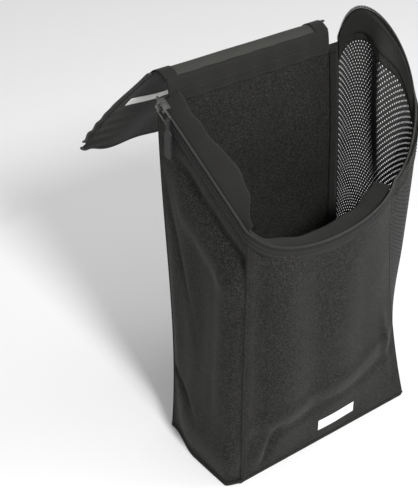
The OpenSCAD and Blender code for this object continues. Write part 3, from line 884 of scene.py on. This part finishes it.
mouthTop, mouthUp, mouthOut = joinFrames([(plainLeft, np.linspace(0.02, 0.995, 60)),
                                          (plainFront, np.linspace(0.008, 0.99, 90)),
                                          (plainRight, np.linspace(0.012, 0.99, 150))])
tapeOffset = half + 0.7 * mm
tapeTopEdge = zipper["rise"] - 1.2 * mm


def rimRibbon(name, low, high, offset, thick, material, waves=0.0):
    width = high - low
    section = roundedBar(width, thick, 0.4)
    sway = waves * rimWaves(np.linspace(0, 1, len(mouthTop)))[:, None]
    centres = mouthTop + mouthUp * (low + high) / 2 + mouthOut * (offset + sway)
    return sweepSection(name, centres, mouthUp, mouthOut, section, material)


fit(rimRibbon("bodyZipTape", tapeTopEdge - zipper["tapeWidth"], tapeTopEdge, tapeOffset, 0.8 * mm,
              zipTape), "bag",
    "body_zip_tape", material="zip_tape")
toothPath = mouthTop + mouthUp * zipper["rise"] + mouthOut * tapeOffset
fit(teethAlong("bodyZipTeeth", toothPath, mouthUp, mouthOut, zipTeeth), "bag", "body_zip_teeth",
    material="zip_teeth")
for k, drop in enumerate((-2.4 * mm, -6.6 * mm)):
    path = mouthTop + mouthUp * drop + mouthOut * (tapeOffset + 0.45 * mm)
    fit(stitchesAlong(f"tapeStitch{k}", path, mouthOut, threadBlack), "bag", material="zip_tape")


def facingReach(s, wing):
    # how wide the facing is cut along its length; a winged one tapers off at the front
    taper = 1 - 0.7 * (wing > 0) * smooth(s, 0.78, 1.0)
    return trim["facingWidth"] * taper * (1 + wing * bump(s, 0.62, 0.2) + 0.05 * np.sin(s * 31))


def stripCut(surface, us, wing):
    # as long as the plain rim that it is sewn to
    length = cutOf(surface, (us[0], us[-1]), (0.999, 1))[0]
    reach = facingReach(np.linspace(0, 1, 201), wing)
    return length, float(reach.max()), length * float(reach.mean())


def facingStrip(name, surface, us, lean, lift, node, wing=0.0):
    us = np.asarray(us, float)
    top, up, out = rimFrame(surface, us)
    inward = -out
    inward[:, 2] = 0
    inward = unit(inward)
    across = np.linspace(0, 1, 9)
    s = np.linspace(0, 1, len(us))
    rows = []
    for a in across:
        reach = facingReach(s, wing)
        height = lean * a + lift * math.sin(math.pi * a) + 0.8 * mm * a * np.sin(s * 23
                + 1.0) + wing * 4 * mm * a * bump(s, 0.6, 0.2)
        rows.append(top + inward * (half + 0.5 * mm + reach * a)[:, None] + np.array([0, 0, 1.0])
                    * (height - 0.5 * mm)[:, None])
    grid = np.stack(rows)
    du, dv = np.gradient(grid, axis=1), np.gradient(grid, axis=0)
    n = unit(np.cross(du, dv))
    width = np.linalg.norm(np.diff(grid[4], axis=0), axis=-1).sum()
    obj = thickGrid(name, grid + n * 0.55 * mm, grid - n * 0.55 * mm, facingTape,
                    (width, trim["facingWidth"]))
    stripCut(surface, us, wing)
    return fit(obj, "bag", node, material="woven_cloth")


facingStrip("leftFacing", plainLeft, np.linspace(0.03, 0.985, 60), 6 * mm, 1.2 * mm, "left_facing",
            wing=0.35)
facingStrip("frontFacing", plainFront, np.linspace(0.02, 0.97, 80), 2.0 * mm, 1.2 * mm, "front_facing",
            wing=0.0)
rightFacing = surfaceSheet("rightFacing", rightWall, (0.02, 0.985), (0.945, 0.998), -half - 1.6 * mm,
                           -half - 0.5 * mm,
                           (200, 8), facingTape)
fit(rightFacing, "bag", "right_facing", material="woven_cloth")
cutOf(plainRight, (0.02, 0.985), (0.945, 0.998))
print("mouth made")


hinge = np.array([backY, backTop + flap["hingeRise"]])
flapLeft, flapRight = -halfWidth + flap["leftInset"], halfWidth - flap["rightInset"]
stack = bag["clothThickness"] + 0.9 * mm


def flapProfile(s):
    fine = np.linspace(0, 0.215, 900)
    angle = np.radians(flap["foldAngle"] + (flap["lidAngle"] - flap["foldAngle"])
                       * smooth(fine, flap["foldLength"] - flap["bendRadius"],
                                flap["foldLength"] + flap["bendRadius"])
                       - 3 * smooth(fine, 0.13, 0.2) + 4 * bump(fine, 0.06, 0.03))
    step = fine[1] - fine[0]
    y = hinge[0] + np.concatenate([[0], np.cumsum(np.cos(angle[:-1]) * step)])
    z = hinge[1] + np.concatenate([[0], np.cumsum(np.sin(angle[:-1]) * step)])
    return np.interp(s, fine, y), np.interp(s, fine, z)


flapLength = flap["foldLength"] + flap["lidLength"]


def flapSurface(u, s):
    u, s = np.broadcast_arrays(np.asarray(u, float), np.asarray(s, float))
    y, z = flapProfile(s)
    away = smooth(s, flap["foldLength"], flapLength)
    left = flapLeft - flap["spread"] * away
    right = flapRight + flap["spread"] / 3 * away
    x = left + (right - left) * u
    edge = bump(u, 0, 0.12) + 0.7 * bump(u, 1, 0.12)
    curl = (-2.0 * away * bump(u, 0, 0.2) + 1.0 * edge * np.sin(s / mm * 0.3 + 1.2) * away ** 3
            + 1.6 * away * np.sin(u * 7.5 + s / mm * 0.018 + 0.6)
            + 0.9 * np.sin(u * 17 + 1.0) * smooth(s, 0.01, 0.05)) * mm
    p = np.stack([x, y, z], -1)
    tilt = np.stack([0 * x, np.full_like(x, 0.69), np.full_like(x, 0.72)], -1)
    return p + tilt * curl[..., None]


def flapReach(u):
    return flap["endLength"] + flap["endDip"] * np.sin(np.pi * np.clip(u, 0, 1)) ** 0.8


def flapGrid(uRange, sStart, sEnd, cells):
    u = np.linspace(*uRange, cells[0] + 1)[None, :].repeat(cells[1] + 1, 0)
    t = np.linspace(0, 1, cells[1] + 1)[:, None]
    start = sStart(u) if callable(sStart) else sStart
    end = sEnd(u) if callable(sEnd) else sEnd
    s = start + (end - start) * t
    e = 0.6 * mm
    du = flapSurface(np.clip(u + 0.004, 0, 1), s) - flapSurface(np.clip(u - 0.004, 0, 1), s)
    dv = flapSurface(u, s + e) - flapSurface(u, s - e)
    return flapSurface(u, s), unit(np.cross(du, dv))


def flapSheet(name, uRange, sStart, sEnd, low, high, cells, material):
    base, n = flapGrid(uRange, sStart, sEnd, cells)
    width = np.linalg.norm(np.diff(base[cells[1] // 2], axis=0), axis=-1).sum()
    height = np.linalg.norm(np.diff(base[:, cells[0] // 2], axis=0), axis=-1).sum()
    return thickGrid(name, base + n * high, base + n * low, material, (width, height))


def bendAt(obj):
    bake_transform(obj)


def onFold(obj, slotName, *nodes):
    bendAt(obj)
    if nodes:
        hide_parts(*nodes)


def onEnd(obj, slotName, *nodes):
    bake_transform(obj)
    if nodes:
        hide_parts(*nodes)


flapCloth = flapSheet("flapCloth", (0, 1), 0.4 * mm, flapLength, -0.6 * mm, 0.6 * mm, (110, 90), wovenCloth)
onFold(flapCloth, "woven_cloth", "flap_fold", "flap_lid")
flapLining = flapSheet("flapLining", (0.015, 0.985), 1.5 * mm, flapLength, 0.8 * mm, 1.3 * mm, (110, 90),
                       coatedLining)
onFold(flapLining, "coated_lining", "flap_fold_lining", "flap_lid_lining")
flapEnd = flapSheet("flapEnd", (0, 1), flapLength, lambda u: flapLength + flapReach(u), -0.6 * mm,
                    0.6 * mm, (110, 24), wovenCloth)
onEnd(flapEnd, "woven_cloth", "flap_end")
flapEndLining = flapSheet("flapEndLining", (0.015, 0.985), flapLength,
                          lambda u: flapLength + 0.95 * flapReach(u),
                          0.8 * mm, 1.3 * mm, (110, 24), coatedLining)
onEnd(flapEndLining, "coated_lining", "flap_end_lining")

borderShare = 15 * mm / (flapRight - flapLeft)
for name, uRange in (("flapBorderLeft", (0.0, borderShare)), ("flapBorderRight", (1 - borderShare, 1.0))):
    strip = flapSheet(name, uRange, 1.5 * mm, flapLength, 1.45 * mm, 2.25 * mm, (8, 90), facingTape)
    onFold(strip, "woven_cloth", *(["flap_border"] if name == "flapBorderLeft" else []))
endBorder = flapSheet("flapBorderEnd", (0.0, 1.0),
                      lambda u: flapLength + flapReach(u) - 8 * mm * np.sin(np.pi * u) ** 0.3,
                      lambda u: flapLength + flapReach(u), 1.45 * mm, 2.25 * mm, (110, 6), facingTape)
onEnd(endBorder, "woven_cloth")


def edgeFrames(u, s):
    top = flapSurface(u, s)
    e = 0.6 * mm
    du = flapSurface(np.clip(u + 0.004, 0, 1), s) - flapSurface(np.clip(u - 0.004, 0, 1), s)
    dv = flapSurface(u, s + e) - flapSurface(u, s - e)
    return top, unit(du), unit(dv), unit(np.cross(du, dv))


def ribbonFrom(name, centres, across, out, width, thick, material):
    return sweepSection(name, centres, across, out, roundedBar(width, thick, 0.4), material)


def flapZip(label, u, s, sign):
    top, du, dv, n = edgeFrames(u, s)
    across = du * sign if sign else dv
    tape = ribbonFrom(label + "Tape", top + across * 2.3 * mm, across, n, 5.0 * mm, 0.8 * mm, zipTape)
    teeth = teethAlong(label + "Teeth", top + across * 5.9 * mm, across, n, zipTeeth)
    stitch = stitchesAlong(label + "Stitch", top - across * 1.6 * mm - n * 0.7 * mm, -n, threadBlack)
    return tape, teeth, stitch


s = np.linspace(flap["foldLength"] + 1 * mm, flapLength - 0.5 * mm, 90)
for label, u, sign in (("flapLeft", 0.0, -1), ("flapRight", 1.0, 1)):
    tape, teeth, stitch = flapZip(label, np.full(90, u), s, sign)
    onFold(tape, "zip_tape", *(["flap_lid_zip_tape"] if sign < 0 else []))
    onFold(teeth, "zip_teeth", *(["flap_lid_zip_teeth"] if sign < 0 else []))
    onFold(stitch, "zip_tape")
u = np.linspace(0.003, 0.997, 130)
top, du, dv, n = edgeFrames(u, flapLength + flapReach(u))
tangent = unit(np.gradient(top, axis=0))
away = unit(np.cross(n, tangent))
fit(ribbonFrom("flapEndTape", top + away * 2.3 * mm, away, n, 5.0 * mm, 0.8 * mm, zipTape), "flap_end_leaf",
    "flap_end_zip_tape", material="zip_tape")
fit(teethAlong("flapEndTeeth", top + away * 5.9 * mm, away, n, zipTeeth), "flap_end_leaf",
    "flap_end_zip_teeth",
    material="zip_teeth")


def makeHingeStrip():
    cells = (110, 14)
    x = np.linspace(flapLeft + 1 * mm, flapRight - 1 * mm, cells[0] + 1)[None, :]
    t = np.linspace(0, 1, cells[1] + 1)[:, None]
    y2, z2 = flapProfile(3.0 * mm)
    profileY = np.interp(t, [0, 0.55, 0.85, 1],
                         [backY - 2.2 * mm, backY - 2.4 * mm, hinge[0] - 0.9 * mm, y2 - 0.9 * mm])
    profileZ = np.interp(t, [0, 0.55, 0.85, 1],
                         [backTop - 7 * mm, backTop + 4 * mm, hinge[1] + 0.9 * mm, z2 + 1.6 * mm])
    rows = np.stack([x + 0 * t, profileY + 0 * x + 0.5 * mm * np.sin(x / mm * 0.21), profileZ + 0 * x], -1)
    n = unit(np.cross(np.gradient(rows, axis=1), np.gradient(rows, axis=0)))
    obj = thickGrid("hingeStrip", rows + n * 0.5 * mm, rows - n * 0.5 * mm, facingTape,
                    (flapRight - flapLeft, 20 * mm))
    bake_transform(obj)
    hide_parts("hinge_strip")


makeHingeStrip()
for k, z in enumerate((-4.5 * mm, 3.0 * mm)):
    x = np.linspace(flapLeft + 3 * mm, flapRight - 3 * mm, 60)
    path = np.stack([x, np.full(60, backY - 2.9 * mm) + 0.5 * mm * np.sin(x / mm * 0.21),
                     np.full(60, backTop + z)], -1)
    fit(stitchesAlong(f"hingeStitch{k}", path, np.tile(np.array([0, -1.0, 0]), (60, 1)), threadBlack),
        "bag",
        material="zip_tape")
print("flap made")


for node in ("slider_body", "pull_ring", "zip_end_stops"):
    obj = bpy.data.objects.get(node)
    if obj:
        for slotItem in obj.material_slots:
            slotItem.material = darkMetal
puller = bpy.data.objects.get("puller")
for slotItem in puller.material_slots:
    slotItem.material = pullerRubber

frontPatch = surfaceSheet("frontPatch", frontWall, (0.448, 0.672), (0.056, 0.114), half + 0.1 * mm,
                          half + 0.45 * mm,
                          (40, 12), palePrint)
fit(frontPatch, "bag", "front_patch", material="pale_print")
flapPatch = flapSheet("flapPatch", (0.05, 0.31), flap["foldLength"] + 0.45 * flap["lidLength"],
                      flap["foldLength"] + 0.45 * flap["lidLength"] + trim["patchHeight"], -1.05 * mm, -0.7 * mm, (30, 8), palePrint)
fit(flapPatch, "flap_lid_leaf", "flap_patch", material="pale_print")
print("trim made")


def makeFloor():
    material, tree, shader = startMaterial("paleFloor")
    shader.inputs["Base Color"].default_value = (0.86, 0.86, 0.86, 1)
    shader.inputs["Roughness"].default_value = 0.9
    bpy.ops.mesh.primitive_plane_add(size=12, location=(0, 0, -0.0002))
    floor = bpy.context.object
    floor.name = "floor"
    floor.data.materials.append(material)


def areaLamp(name, location, target, size, power, colour=(1, 1, 1)):
    data = bpy.data.lights.new(name, "AREA")
    data.shape, data.size, data.energy, data.color = "DISK", size, power, colour
    lamp = bpy.data.objects.new(name, data)
    scene.collection.objects.link(lamp)
    lamp.location = location
    lamp.rotation_euler = (Vector(target) - Vector(location)).to_track_quat("-Z", "Y").to_euler()


makeFloor()
areaLamp("keyLamp", (-0.4, -1.5, 1.45), (0, 0, 0.15), 0.4, 42)
areaLamp("fillLamp", (1.5, -1.0, 1.3), (0, 0, 0.2), 1.4, 12)
world = bpy.data.worlds.new("studioWorld")
scene.world = world
world.use_nodes = True
world.node_tree.nodes["Background"].inputs["Color"].default_value = (1, 1, 1, 1)
world.node_tree.nodes["Background"].inputs["Strength"].default_value = 0.6

cameraData = bpy.data.cameras.new("viewCamera")
camera = bpy.data.objects.new("viewCamera", cameraData)
scene.collection.objects.link(camera)
cameraData.lens = 90.3
cameraData.sensor_width = 36
azimuth, elevation = math.radians(-38.3), math.radians(31.4)
forward = Vector((-math.sin(azimuth) * math.cos(elevation), math.cos(azimuth) * math.cos(elevation),
                  -math.sin(elevation)))
camera.location = (-0.6682, -0.7149, 0.7914)
camera.rotation_euler = forward.to_track_quat("-Z", "Y").to_euler()
scene.camera = camera
scene.view_settings.view_transform = "Standard"
